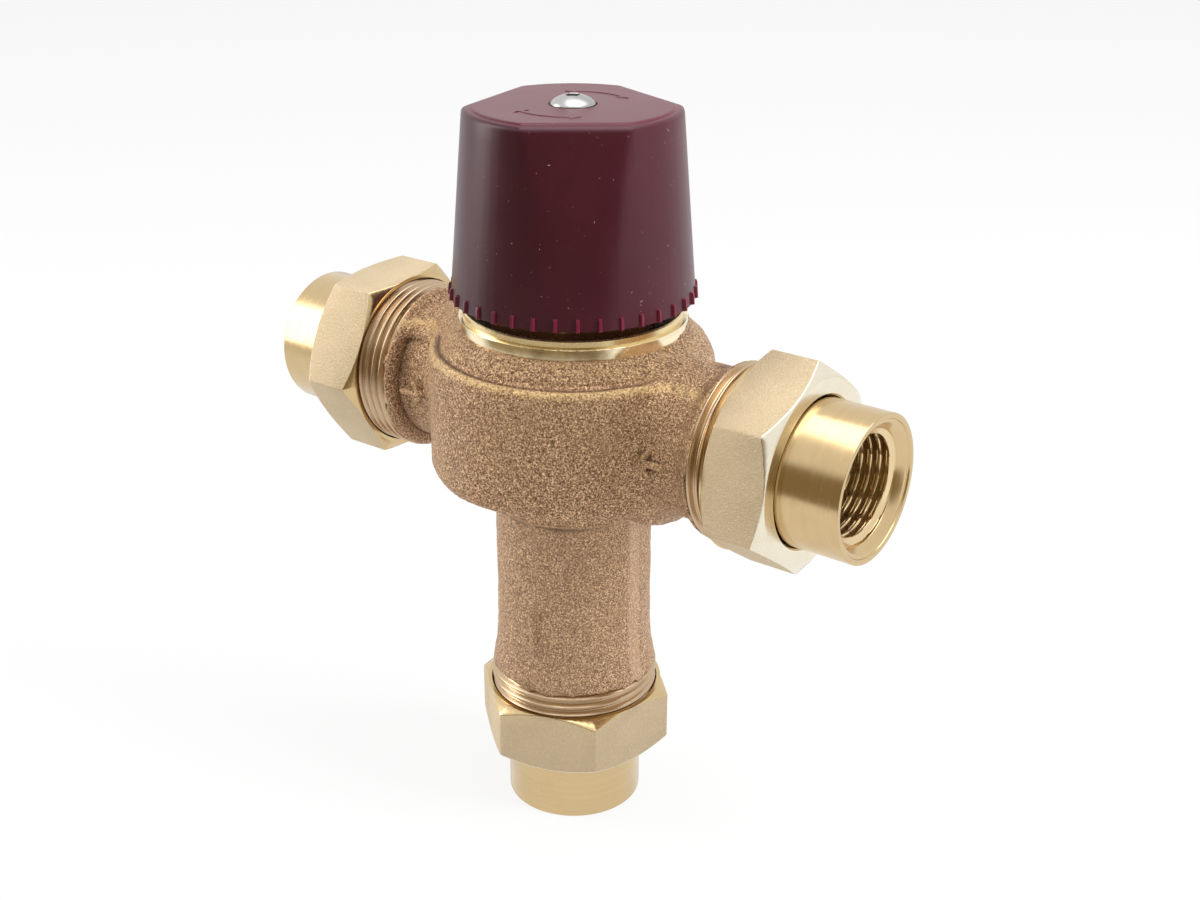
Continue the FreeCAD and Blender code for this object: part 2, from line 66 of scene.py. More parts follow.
crossing = sum(span("hot_tailpiece")) / 2
FACING = {
    "hot": Matrix.Rotation(math.radians(90), 4, "Y"),
    "cold": Matrix.Rotation(math.radians(-90), 4, "Y"),
    "mixed": Matrix.Rotation(math.radians(180), 4, "X"),
    "stem": Matrix.Identity(4),
}


def reach(node, port):
    """Nearest and farthest distance of a port's node from the crossing."""
    if port == "hot":
        return span(node, 0)
    if port == "cold":
        low, high = span(node, 0)
        return -high, -low
    low, high = span(node)
    return crossing - high, crossing - low


# ---------------------------------------------------------------- sizes
collar_r = 21.4
collar_bore_r = 18.0
collar_foot, collar_top = 15.0, 18.5
barrel_r = 27.3
neck_r = 15.2
ground_x = 15.08
boss_r = 14.4
thread_r = 16.56
thread_pitch = 25.4 / 14
thread_depth = 0.95
cast_end = {"hot": 36.9, "cold": 34.5, "mixed": 55.5}
face_reach = {"hot": 45.8, "cold": 45.8, "mixed": 65.0}
bore_r = 11.0
lobe_rise = {"hot": -3.8, "cold": 3.8}
arrow_r = 0.62
arrow_back, arrow_side = 1.7, 1.9
# Slow swells of the cast skin: height in millimetres, and waves to the millimetre.
skin_waves = ((0.16, 0.17), (0.07, 0.6))
# Hollows round the stem axis, and in each side: radius, and where they start and end.
stem_hollows = {
    "bonnet_bore": (17.9, 9.5, 30), "upper_chamber": (17.0, 1.8, 9.6),
    "web_bore": (13.05, -15, 2), "lower_chamber": (15.6, -14.5, -5.6),
    "mixed_waterway": (bore_r, -70, -14), "seat_pocket": (12.65, -17, -14),
}
side_hollows = {"inlet": (bore_r, 27.0, 60), "stem_well": (8.0, 24.0, 28)}

nut_flats = 34.5
nut_corner = 0.8
nut_land = 0.3
nut_shoulder = 3.2
nut_turn = {"hot": 54.4, "cold": 26.4, "mixed": 40.6}
tail_r = 13.5
tail_collar_r = 16.2
tail_collar = 2.35
waterway_r = 8.0
pipe_r = 9.85
pipe_depth = 13.6
mouth_r = 11.75
pipe_groove = 0.62
pipe_cut = 1.15

cap_foot, cap_top = (h - crossing for h in span("adjusting_cap"))
cap_foot_r, cap_top_r = 22.7, 19.8
cap_wall = 2.2
flat_half = 28.8
flat_fade = 0.6
crease_ease = 1.5
plate_raise = 0.3
cap_turn = -51.0
cap_edge = 1.05
plate_depth = 2.4
rib_count = 36
first_rib = 0.4
rib_floor_r = 22.4
rib_width = 0.62
rib_height = 2.4
rib_proud = 0.5
mark_r = 11.0
mark_raise = 0.12
screw_r = 4.05
screw_seat = cap_top - 0.3
screw_dome = 2.1
screw_edge = 0.35
socket_half = 1.25

# How finely things are made.
cast_cell = 0.56
table_step = 0.1
lathe_columns = 160
thread_columns = 144
thread_rows = 14
spring_steps = 24
spring_sides = 10


# The noise module starts from the clock unless it is given a seed.
noise.seed_set(1)


# ---------------------------------------------------------------- mesh making
def finish_mesh(name, vertices, faces, finishes, face_finish, sharp):
    """An object from points in millimetres, with its creases sharp and its normals outward."""
    mesh = bpy.data.meshes.new(name)
    mesh.from_pydata([tuple(MM * c for c in v) for v in vertices], [], faces)
    for finish in finishes:
        mesh.materials.append(finish)
    mesh.polygons.foreach_set("material_index", face_finish)
    shape = bmesh.new()
    shape.from_mesh(mesh)
    bmesh.ops.remove_doubles(shape, verts=shape.verts, dist=0.002 * MM)
    bmesh.ops.recalc_face_normals(shape, faces=shape.faces)
    for face in shape.faces:
        face.smooth = True
    for edge in shape.edges:
        if len(edge.link_faces) == 2 and edge.calc_face_angle(0) > math.radians(sharp):
            edge.smooth = False
    shape.to_mesh(mesh)
    shape.free()
    piece = bpy.data.objects.new(name, mesh)
    bpy.context.scene.collection.objects.link(piece)
    return piece


def skin(name, rings, finishes, ring_finish=None, closed=True, sharp=28):
    """A surface through rings of points; closed joins the last ring to the first."""
    rings = np.asarray(rings, float)
    count, columns = rings.shape[:2]
    faces, face_finish = [], []
    for j in range(count if closed else count - 1):
        following = (j + 1) % count
        for i in range(columns):
            beside = (i + 1) % columns
            faces.append((j * columns + i, j * columns + beside,
                          following * columns + beside, following * columns + i))
            face_finish.append(ring_finish[j] if ring_finish else 0)
    return finish_mesh(name, rings.reshape(-1, 3), faces, finishes, face_finish, sharp)


def eased(outline, ease):
    """A closed outline with each corner rounded off a little."""
    points = []
    for k, corner in enumerate(outline):
        corner = np.array(corner, float)
        before = np.array(outline[k - 1], float) - corner
        after = np.array(outline[(k + 1) % len(outline)], float) - corner
        far_before, far_after = np.hypot(*before), np.hypot(*after)
        if corner[0] < 1e-6:
            points.append(tuple(corner))
            continue
        into = corner + before * min(ease / far_before, 0.4)
        out = corner + after * min(ease / far_after, 0.4)
        for t in (0, 0.33, 0.67, 1):
            points.append(tuple((1 - t) ** 2 * into + 2 * t * (1 - t) * corner + t * t * out))
    return points


def bearings(columns):
    """So many bearings spread evenly round an axis, in radians."""
    return np.arange(columns) * 2 * np.pi / columns


def circle(radius, height, angles):
    """One ring; radius and height may be single numbers or one for each bearing."""
    return np.stack([radius * np.cos(angles), radius * np.sin(angles),
                     height + 0 * angles], axis=1)


def turned(name, outline, finishes):
    """A closed outline of radii and heights, turned about its axis."""
    angles = bearings(lathe_columns)
    return skin(name, [circle(r, h, angles) for r, h in outline], finishes)


def place(piece, port, body, slot, *nodes):
    """Turn a piece to face out of its port, and let it ride on its body."""
    piece.matrix_world = Matrix.Translation((0, 0, crossing * MM)) @ FACING[port]
    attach(piece, body)
    if nodes:
        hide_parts(*nodes)
    return piece


# ---------------------------------------------------------------- shader writing
class Signal:
    """A shader socket that Python's operators work on, each adding a Math node."""

    def __init__(self, finish, socket):
        self.finish, self.socket = finish, socket

    def math(self, operation, *values):
        inputs = {k: value for k, value in enumerate(values)}
        return self.finish.add("ShaderNodeMath", {"operation": operation}, inputs)

    def __add__(self, other):
        return self.math("ADD", self, other)

    def __sub__(self, other):
        return self.math("SUBTRACT", self, other)

    def __rsub__(self, other):
        return self.math("SUBTRACT", other, self)

    def __mul__(self, other):
        return self.math("MULTIPLY", self, other)

    def __pow__(self, other):
        return self.math("POWER", self, other)

    __radd__, __rmul__ = __add__, __mul__

    def above(self, low, high):
        """0 below low, 1 above high and an even rise between them."""
        return self.finish.add("ShaderNodeMapRange", {"interpolation_type": "SMOOTHSTEP"},
                               {"Value": self, "From Min": low, "From Max": high})


class Nodes:
    """Adds nodes to a tree, each from its type, its settings and the values of its sockets."""

    def __init__(self, tree):
        self.tree = tree

    def add(self, kind, settings=None, inputs=None, output=0):
        node = self.tree.nodes.new(kind)
        for key, value in (settings or {}).items():
            if key == "stops":
                ramp = node.color_ramp.elements
                while len(ramp) < len(value):
                    ramp.new(0.5)
                for stop, (where, colour) in zip(ramp, value):
                    stop.position = where
                    stop.color = (*colour, 1)
            else:
                setattr(node, key, value)
        for key, value in (inputs or {}).items():
            self.join(node.inputs[key], value)
        return Signal(self, node.outputs[output])

    def join(self, socket, value):
        if isinstance(value, Signal):
            self.tree.links.new(value.socket, socket)
        elif isinstance(value, tuple) and len(value) == 3 and len(socket.default_value) == 4:
            socket.default_value = (*value, 1)
        else:
            socket.default_value = value

    def mix(self, factor, first, second):
        return self.add("ShaderNodeMix", {"data_type": "RGBA"},
                        {0: factor, 6: first, 7: second}, output=2)

    def split(self, vector):
        """The x, y and z of a vector, as three signals."""
        parts = self.tree.nodes.new("ShaderNodeSeparateXYZ")
        self.join(parts.inputs[0], vector)
        return [Signal(self, socket) for socket in parts.outputs]

    def unlit_end(self, east, south):
        """1 within the dark end of the room, from 48 degrees west to 62 east of south."""
        turn = self.add("ShaderNodeMath", {"operation": "ARCTAN2"}, {0: east, 1: south})
        left, right, soft = math.radians(-48), math.radians(62), math.radians(16)
        return turn.above(left - soft, left) * (1 - turn.above(right, right + soft))


class Finish(Nodes):
    """A material's nodes, ending in a Principled shader whose plain values are given."""

    def __init__(self, name, **plain):
        self.material = bpy.data.materials.new(name)
        self.material.use_nodes = True
        super().__init__(self.material.node_tree)
        self.shader = self.tree.nodes["Principled BSDF"]
        for key, value in plain.items():
            self.shader.inputs[key.replace("_", " ")].default_value = value
        self.here = self.add("ShaderNodeTexCoord", output="Object")

    def noise(self, per_metre, detail=2.0, roughness=0.5, where=None, distortion=0.0):
        return self.add("ShaderNodeTexNoise", None, {
            "Vector": where or self.here, "Scale": per_metre, "Detail": detail,
            "Roughness": roughness, "Distortion": distortion})

    def ramp(self, factor, *stops):
        return self.add("ShaderNodeValToRGB", {"stops": stops}, {0: factor})

    def bump(self, height, depth, over=None):
        """A bump of so many millimetres; over lets it sit on another bump."""
        inputs = {"Height": height, "Distance": depth * MM, "Strength": 1.0}
        if over:
            inputs["Normal"] = over
        return self.add("ShaderNodeBump", None, inputs)

    def about_axis(self):
        """Distance from the piece's own Z axis and height along it, as two signals."""
        x, y, z = self.split(self.here)
        return (x * x + y * y) ** 0.5, z

    def bell(self, length, middle, width):
        """1 where a length is at its middle, in millimetres, and 0 a width away from it."""
        off = absolute(length - middle * MM)
        return 1 - off.above(0.0, width * MM)

    def drive(self, **links):
        for key, value in links.items():
            self.join(self.shader.inputs[key.replace("_", " ")], value)
        return self.material


def absolute(signal):
    return signal.math("ABSOLUTE", signal)


def sand_cast_bronze():
    """Tumbled sand casting: grainy, brown in its pits; painted glints, highlights and shade."""
    pit, brown = (0.080, 0.036, 0.018), (0.27, 0.142, 0.077)
    bronze, glint = (0.47, 0.277, 0.154), (1.0, 0.74, 0.46)
    f = Finish("sand_cast_bronze", Metallic=0.72)
    radius, height = f.about_axis()
    x, y = f.split(f.here)[:2]
    swell = f.add("ShaderNodeNewGeometry", output="Pointiness")
    grain = f.noise(2800, 3, 0.7)
    grit = f.noise(5200, 2, 0.7)
    lumps = f.noise(1700, 2, 0.6)
    cloud = f.noise(75, 3, 0.55)
    stain = f.noise(150, 4, 0.6, distortion=0.6).above(0.53, 0.72)
    tone = grain * 0.55 + grit * 0.45
    # The brightest grain takes a painted glint colour.
    skin = f.ramp(tone.above(0.35, 0.64),
                  (0.0, pit), (0.38, brown), (0.64, bronze), (1.0, glint))
    golden = f.mix(0.45, skin, (0.50, 0.32, 0.15))
    toned = f.mix(cloud.above(0.4, 0.7) * 0.4, skin, golden)
    dome = height.above(12.9 * MM, 13.6 * MM) * (1 - absolute(x).above(25.5 * MM, 27.5 * MM))
    # Painted highlight: the dome's lumps turn golden as if lit from above; they are also smoother.
    worn_and_highlit = lumps.above(0.46, 0.66) * dome
    # Painted highlights: the rim's ridge, the neck's step line and every raised edge go towards
    # gold.
    rim = f.bell(height, 12.1, 1.3) * radius.above(25.9 * MM, 26.5 * MM)
    # Painted highlight: a light line along the neck's step, on the front only.
    edge = f.bell(height, -18.7, 0.45) * f.bell(y, -13.5, 6.0)
    crest_highlight = (rim * (0.35 + 0.65 * grain.above(0.4, 0.6)) + edge * 0.5
             + swell.above(0.525, 0.57) * (1 - dome) * 0.4)
    # The painted highlights, mixed in as gold.
    highlit = f.mix((crest_highlight * 0.62 + worn_and_highlit * 0.4).above(0, 1), toned, (0.86, 0.62, 0.28))
    # Painted shade: darker in concave places and in the groove inside the rim.
    hollow = swell.above(0.492, 0.45) + f.bell(height, 12.4, 0.7) * f.bell(radius, 25.4, 0.9) * 0.4
    # Darker towards the inlet ends, and painted shadow under the ragged skin edge at the mixed
    # port.
    dark_ends = (x.above(29.5 * MM, 33.5 * MM) + x.above(-29.5 * MM, -34.5 * MM) * 0.4
                + height.above(-52.0 * MM, -54.0 * MM))
    pitted = dome * lumps.above(0.48, 0.34)
    # Painted shadow: a dark line just under the neck's step, on the front only.
    below = f.bell(height, -19.7, 0.8) * f.bell(y, -13.5, 6.0)
    # Stains, painted shade, the darker ends and darker spots between the dome's lumps, mixed to
    # dark brown.
    dark = (stain * 0.3 + hollow * 0.6 + dark_ends * (0.15 + 0.25 * stain) + pitted * 0.45
            + below * 0.45)
    colour = f.mix(dark.above(0, 1), highlit, (0.11, 0.055, 0.032))
    below_barrel = height.above(-18.0 * MM, -20.0 * MM)
    ground = f.bell(y, -0.5, 2.1).above(0.0, 0.25) * x.above(14.2 * MM, 14.9 * MM)
    pale = below_barrel * (0.12 + ground * 0.3)
    colour = f.mix(pale, colour, (0.72, 0.50, 0.35))
    relief = f.bump(f.noise(420, 2, 0.5) + dome * lumps * 1.8, 0.26)
    return f.drive(Base_Color=colour,
                   Roughness=0.58 - tone.above(0.4, 0.8) * 0.24 - (worn_and_highlit + rim) * 0.2,
                   Normal=f.bump(tone, 0.30, relief))


def turned_brass(name, colour, dull, gloss=0.16, line_depth=0.006, waviness=0.0,
                 dullness=0.25):
    """Brass off the lathe: fine rings round its axis, and slow waves where waviness asks."""
    f = Finish(name, Metallic=1.0)
    radius, height = f.about_axis()
    across = f.add("ShaderNodeCombineXYZ", None, {0: radius, 1: height})
    lines = f.noise(5200, 2, 0.6, across)
    bands = f.noise(900, 2, 0.5, across)
    smudge = f.noise(120, 3, 0.6).above(0.45, 0.75)
    shade = f.mix(bands.above(0.35, 0.7) * 0.15, colour, dull)
    return f.drive(Base_Color=f.mix(smudge * dullness, shade, dull),
                   Roughness=gloss + lines.above(0.4, 0.8) * 0.10 + smudge * 0.08,
                   Normal=f.bump(lines * 0.92 + bands * 0.08, line_depth,
                                 f.bump(f.noise(210, 1, 0.4), waviness)))


def blasted_brass():
    """Brass blasted to an even matt grain, darker in its finest pits."""
    f = Finish("blasted_brass", Metallic=0.9)
    grit = f.noise(2300, 3, 0.7)
    fine = f.noise(4600, 2, 0.6)
    cloud = f.noise(60, 3, 0.5).above(0.3, 0.7)
    base = f.mix(cloud, (0.62, 0.495, 0.325), (0.70, 0.565, 0.375))
    colour = f.mix(grit.above(0.5, 0.75) * 0.3, base, (0.90, 0.80, 0.62))
    return f.drive(Base_Color=f.mix(fine.above(0.62, 0.42) * 0.2, colour, (0.40, 0.29, 0.16)),
                   Roughness=0.48 + fine * 0.12,
                   Normal=f.bump(grit * 0.6 + fine * 0.4, 0.28))


def moulded_cap(name, colour, lift, lit_top):
    """Satin moulded plastic with tiny pale specks and a top painted lighter, as if lit from above.
    """
    f = Finish(name, Specular_IOR_Level=0.48, Specular_Tint=(1.0, 0.80, 0.84, 1))
    height = f.split(f.here)[2]
    # Painted light: the top face is lighter and redder, as if lit from above.
    top = height.above((cap_top - 0.6) * MM, (cap_top - 0.2) * MM)
    cloud = f.noise(45, 3, 0.5)
    orange_peel = f.noise(700, 2, 0.5)
    specks = f.noise(1700, 2, 0.5, distortion=0.8).above(0.742, 0.765)
    base = f.mix(top, f.mix(cloud.above(0.35, 0.7), colour, lift), lit_top)
    return f.drive(Base_Color=f.mix(specks * 0.55, base, (0.62, 0.50, 0.48)),
                   Roughness=0.29 + cloud * 0.10 + specks * 0.2,
                   Normal=f.bump(orange_peel, 0.012))


def plain_finish(name, colour, rough, metallic=0.0, grain=1500.0, depth=0.01):
    """Small pieces: a slight drift of tone and a fine grain."""
    f = Finish(name, Metallic=metallic)
    cloud = f.noise(150, 3, 0.5)
    fine = f.noise(grain, 2, 0.5)
    darker = tuple(0.72 * c for c in colour)
    return f.drive(Base_Color=f.mix(cloud.above(0.35, 0.7) * 0.6, colour, darker),
                   Roughness=rough + fine * 0.1, Normal=f.bump(fine, depth))


def bonnet_brass():
    """Bright on its flange; above it, painted shade where the cap keeps the light off, and
    rougher.
    """
    f = Finish("bonnet_brass", Metallic=1.0)
    height = f.split(f.here)[2]
    # Painted shade: dark above the flange, inside the cap.
    cap_shade = height.above((crossing + 20.0) * MM, (crossing + 20.3) * MM)
    fine = f.noise(2400, 2, 0.5)
    return f.drive(Base_Color=f.mix(cap_shade, (0.84, 0.67, 0.37), (0.24, 0.12, 0.085)),
                   Roughness=0.22 + cap_shade * 0.4 + fine * 0.08, Normal=f.bump(fine, 0.008))


CAST = sand_cast_bronze()
BLASTED = blasted_brass()
BRIGHT = turned_brass("bright_turned_brass", (0.65, 0.485, 0.262), (0.54, 0.375, 0.18))
COLLAR = turned_brass("machined_collar", (0.98, 0.86, 0.60), (0.34, 0.24, 0.12), 0.14,
                      waviness=0.12, dullness=0.85)
FACED = turned_brass("faced_brass", (0.86, 0.79, 0.64), (0.76, 0.66, 0.46), 0.22)
TAPPED = turned_brass("tapped_thread", (0.80, 0.62, 0.36), (0.64, 0.46, 0.25), 0.20, 0.012)
THREAD = turned_brass("cut_thread", (0.57, 0.42, 0.27), (0.40, 0.27, 0.15), 0.24, 0.012)
# The cap's top colour, painted lighter as if lit from above.
LIT_TOP = (0.092, 0.0066, 0.0180)
CAP = moulded_cap("burgundy_plastic", (0.036, 0.0022, 0.0074), (0.048, 0.0042, 0.0105), LIT_TOP)
# The ribs take a lighter copy of the cap's plastic: a painted highlight on the raised ribs.
RIB_HIGHLIT = moulded_cap("burgundy_rib_highlit", (0.11, 0.006, 0.019), (0.13, 0.009, 0.024), LIT_TOP)
STEEL = plain_finish("polished_screw", (0.50, 0.50, 0.49), 0.26, 1.0, 3000, 0.006)
STEM = plain_finish("stem_brass", (0.78, 0.60, 0.31), 0.22, 1.0)
SPRING = plain_finish("spring_wire", (0.62, 0.62, 0.62), 0.28, 1.0)
CAPSULE = plain_finish("drawn_copper", (0.80, 0.42, 0.26), 0.3, 1.0)
RUBBER = plain_finish("black_rubber", (0.02, 0.02, 0.02), 0.55, 0.0, 900, 0.02)
DARK_PLASTIC = plain_finish("dark_moulding", (0.035, 0.035, 0.038), 0.42)
PALE_PLASTIC = plain_finish("pale_moulding", (0.72, 0.71, 0.67), 0.4)


# ---------------------------------------------------------------- the casting
def outline_field(outline, radii, heights):
    """Signed distance to a closed outline, over a table of radii and heights."""
    r, h = np.meshgrid(radii, heights, indexing="ij")
    nearest = np.full(r.shape, 1e9)
    inside = np.zeros(r.shape, bool)
    for (r0, h0), (r1, h1) in zip(outline, outline[1:] + outline[:1]):
        along_r, along_h = r1 - r0, h1 - h0
        length = along_r ** 2 + along_h ** 2
        if length == 0:
            continue
        t = np.clip(((r - r0) * along_r + (h - h0) * along_h) / length, 0, 1)
        nearest = np.minimum(nearest, np.hypot(r - r0 - t * along_r, h - h0 - t * along_h))
        crosses = (h0 > h) != (h1 > h)
        if h1 != h0:
            inside ^= crosses & (r < r0 + (h - h0) * along_r / (h1 - h0))
    return np.where(inside, -nearest, nearest)


def swept_field(outline, away, heights):
    """The outline turned about its axis: one table looked up by distance from that axis."""
    radii = np.arange(0, away.max() + 2 * table_step, table_step)
    mirrored = outline + [(-r, h) for r, h in reversed(outline)]
    table = outline_field(mirrored, radii, heights)
    spot = away / table_step
    low = spot.astype(int)
    part = (spot - low)[..., None]
    return table[low] * (1 - part) + table[low + 1] * part


def blended(first, second, width):
    """Union of two fields with a fillet along their join."""
    mix = np.clip(0.5 + 0.5 * (second - first) / width, 0, 1)
    return second + (first - second) * mix - width * mix * (1 - mix)


def eased_step(value, low, high):
    """0 below low, 1 above high and a smooth rise between them."""
    t = np.clip((value - low) / (high - low), 0, 1)
    return t * t * (3 - 2 * t)


def stroke_field(where, start, end, width):
    """Distance to a round-ended stroke; where holds the grid's x, y and z."""
    start, end = np.array(start, float), np.array(end, float)
    along = end - start
    offset = [axis - s for axis, s in zip(where, start)]
    t = np.clip(sum(o * a for o, a in zip(offset, along)) / (along @ along), 0, 1)
    return np.sqrt(sum((o - t * a) ** 2 for o, a in zip(offset, along))) - width


def flow_arrow(where, middle, along, across, length):
    """A raised arrow, as strokes lying along the surface that it marks."""
    middle, along, across = (np.array(v, float) for v in (middle, along, across))
    tip = middle + along * length / 2
    tail = middle - along * length / 2
    strokes = [(tail, tip)]
    strokes += [(tip, tip - along * arrow_back + side * across * arrow_side)
                for side in (-1, 1)]
    return np.minimum.reduce([stroke_field(where, a, b, arrow_r) for a, b in strokes])


def plug(radius, start, end):
    """The outline of a plain cylinder, for a hollow."""
    return [(0, start), (radius, start), (radius, end), (0, end)]


def cast_body():
    """The casting, from signed distances on a grid: under 0 is metal, over 0 is air."""
    x = np.arange(-38.5, 38.5 + cast_cell, cast_cell)
    y = np.arange(-29.0, 29.0 + cast_cell, cast_cell)
    z = np.arange(-57.0, 20.0 + cast_cell, cast_cell)
    from_stem = np.hypot(x[:, None], y[None, :])
    bearing = np.degrees(np.arctan2(y[None, :], x[:, None]))[:, :, None]

    def stem(outline):
        return swept_field(outline, from_stem, z)

    def cross(outline, rise=0.0):
        away = np.hypot(y[:, None], z[None, :] - rise)
        return np.moveaxis(swept_field(outline, away, x), 2, 0)

    # The barrel has a raised rim in front and runs plain round its back.
    under = [(barrel_r, -10.5), (26.6, -12.2), (24.9, -12.9), (17.6, -15.9), (0, -15.9)]
    rimmed = stem([(0, 16.4), (collar_r + 0.5, 16.4), (22.3, 16.0), (23.9, 13.9), (24.9, 12.5),
                   (25.6, 12.2), (26.3, 12.9), (26.9, 12.5), (barrel_r, 11.4)] + under)
    plain = stem([(0, 15.9), (21.6, 15.9), (23.4, 14.9), (25.2, 13.1), (26.4, 11.0),
                  (26.8, 9.0), (26.9, 0.0), (27.0, -8.0)] + under)
    sides = eased_step(np.abs(bearing + 82), 62, 80)
    barrel = rimmed + (plain - rimmed) * sides
    skin_top = 16.3 + 1.8 * eased_step(np.abs(bearing + 76), 74, 108)
    skin_top = skin_top + 0.12 * np.sin(np.radians(bearing * 11)) + 0.08 * np.sin(
        np.radians(bearing * 29 + 40))
    skin = np.maximum.reduce(np.broadcast_arrays(
        from_stem[:, :, None] - collar_r - 0.15, z - skin_top, 8.0 - z[None, None]))
    # The neck down to the mixed port, with a mould seam and a ground face on its sides.
    neck = stem([(0, -14.0), (16.3, -14.0), (16.3, -18.3), (15.9, -18.9), (neck_r, -19.1),
                 (neck_r, -45.5), (neck_r + 0.35, -50.5), (neck_r + 1.0, -53.9),
                 (thread_r - 0.12, -55.4), (0, -55.4)])
    seam = 0.35 * np.exp(-(y[None, :, None] / 1.5) ** 2) * (x[:, None, None] < 0)
    neck = np.maximum(neck - seam, np.minimum(x[:, None, None] - ground_x,
                                              z[None, None] + 49.0))
    body = blended(barrel, neck, 2.2)
    body = blended(body, skin, 0.7)
    # A lobe and a boss for each inlet.
    for side, port in SIDES:
        end = cast_end[port]
        lobe = [(0, 0), (14.6, 0), (14.6, 21.6), (14.1, 23.6), (12.9, 25.6), (10.2, 27.8),
                (0, 27.8)]
        boss = [(0, 20.0), (boss_r, 20.0), (boss_r, end - 3.6), (boss_r + 0.7, end - 2.3),
                (16.0, end - 1.2), (thread_r - 0.1, end - 0.5), (thread_r - 0.1, end + 1),
                (0, end + 1)]
        body = blended(body, cross([(r, side * h) for r, h in lobe], lobe_rise[port]),
                       1.4)
        body = blended(body, cross([(r, side * h) for r, h in boss]), 2.4)
    from_ports = np.hypot(y[:, None], z[None, :])[None]
    ledge = np.maximum.reduce(np.broadcast_arrays(
        13.65 - from_ports, z[None, None] - 9.6, y[None, :, None],
        np.abs(x[:, None, None] + 29.2) - 3.3))
    body = -blended(-body, ledge, 0.6)
    # Flow arrows, drawn in lengths round and along the surfaces that carry them.
    height = z[None, None]
    round_neck = (neck_r * np.radians(bearing + 84), from_stem[:, :, None], height)
    round_boss = (x[:, None, None], from_ports,
                  boss_r * np.arctan2(z[None, :], -y[:, None])[None])
    arrows = [flow_arrow(round_neck, (0, neck_r + 0.15, -43.0), (0, 0, -1), (1, 0, 0), 7.0),
              flow_arrow(round_boss, (28.3, boss_r + 0.5, 0), (-1, 0, 0), (0, 0, 1), 4.8),
              flow_arrow(round_boss, (-28.3, boss_r + 0.4, 0), (1, 0, 0), (0, 0, 1), 4.8)]
    for arrow in arrows:
        body = blended(body, arrow, 0.3)
    # The cast skin ends in a ragged line where each thread starts.
    round_ports = np.arctan2(z[None, :], y[:, None])[None]
    for side, port in SIDES:
        ragged = (0.22 * np.sin(7 * round_ports + 1) + 0.16 * np.sin(17 * round_ports + side)
                  + 0.12 * np.sin(31 * round_ports + 2))
        body = np.maximum(body, side * x[:, None, None] - cast_end[port] + 0.2 - ragged)
    round_stem = np.radians(bearing)
    ragged = (0.2 * np.sin(5 * round_stem + 2) + 0.16 * np.sin(19 * round_stem)
              + 0.12 * np.sin(33 * round_stem + 1))
    body = np.maximum(body, -55.2 - ragged - z)
    hollows = [stem(plug(*hollow)) for hollow in stem_hollows.values()]
    hollows += [cross(plug(radius, side * start, side * end))
                for radius, start, end in side_hollows.values() for side, port in SIDES]
    for hollow in hollows:
        body = np.maximum(body, -hollow)
    grid = openvdb.FloatGrid(4.0)
    grid.copyFromArray(np.ascontiguousarray(body, np.float32))
    points, quads = grid.convertToQuads(0.0)
    points = points * cast_cell + np.array([x[0], y[0], z[0]])
    for k, (px, py, pz) in enumerate(points.tolist()):
        skin_r = math.hypot(px, py) if abs(px) < 27 else math.hypot(py, pz)
        if skin_r > 13.2 and pz < 18.0 and (pz < 15.5 or skin_r > 22.0):
            spot = Vector((px, py, pz))
            for rise, pace in skin_waves:
                points[k] += rise * np.array(noise.noise_vector(spot * pace))
    points[:, 1] = points[:, 1].clip(0.01 - barrel_r, barrel_r - 0.01)
    piece = finish_mesh("cast_body", points, [tuple(q) for q in quads.tolist()], [CAST],
                        [0] * len(quads), 180)
    return place(piece, "stem", "valve_body", "cast_bronze", "body_casting")


def collar():
    """The machined ring at the casting's top that the bonnet closes on."""
    outline = eased([(collar_bore_r, collar_foot), (collar_r, collar_foot),
                     (collar_r, collar_top), (collar_bore_r, collar_top)], 0.12)
    return place(turned("machined_collar", outline, [COLLAR]), "stem", "valve_body",
                 "cast_bronze")


def helix_rings(base_r, depth, low, high, phase=0.0):
    """Rings of a thread's surface; depth is added at its crests and fades at both ends."""
    angles = bearings(thread_columns)
    count = int((high - low) / thread_pitch * thread_rows) + 1
    rings = []
    for height in np.linspace(low, high, count):
        turn = (height / thread_pitch - angles / (2 * np.pi) + phase) % 1
        wave = np.clip(np.abs(turn - 0.5) * 2 * 1.5 - 0.25, 0, 1)
        ends = min(1, (height - low) / 0.5, (high - height) / 0.5)
        rings.append(circle(base_r + depth * wave * max(ends, 0), height, angles))
    return rings


def male_thread(port):
    """The union thread on the casting, from the cast skin's end to the port's face."""
    angles = bearings(thread_columns)
    end = face_reach[port]
    start = cast_end[port] - 0.6
    root = thread_r - thread_depth
    rings = [circle(bore_r - 0.05, start, angles)]
    rings += helix_rings(root, thread_depth, start, end - 0.6, phase=0.3)
    rings += [circle(root - 0.3, end, angles), circle(bore_r - 0.05, end, angles)]
    piece = skin(port + "_male_thread", rings, [THREAD], sharp=60)
    return place(piece, port, "valve_body", "cast_bronze")


# ---------------------------------------------------------------- unions
def nut_columns():
    """Bearings round a hexagon from one flat's middle on, and its radius at each."""
    flat = nut_flats / 2
    centre = (flat - nut_corner) / math.cos(math.radians(30))
    tangent = math.degrees(math.atan((flat - nut_corner) * math.tan(math.radians(30)) / flat))
    offsets = list(np.linspace(-tangent, tangent, 15))
    offsets += [tangent + (30 - tangent) * k / 3 for k in (1, 2, 3, 4, 5)]
    angles, radii = [], []
    for side in range(6):
        for offset in offsets:
            from_corner = math.radians(30 - abs(offset) if offset < 30 else offset - 30)
            if abs(offset) <= tangent + 1e-9:
                radius = flat / math.cos(math.radians(offset))
            else:
                radius = (centre * math.cos(from_corner)
                          + math.sqrt(nut_corner ** 2 - (centre * math.sin(from_corner)) ** 2))
            angles.append(math.radians(60 * side + offset))
            radii.append(radius)
    return np.array(angles), np.array(radii)


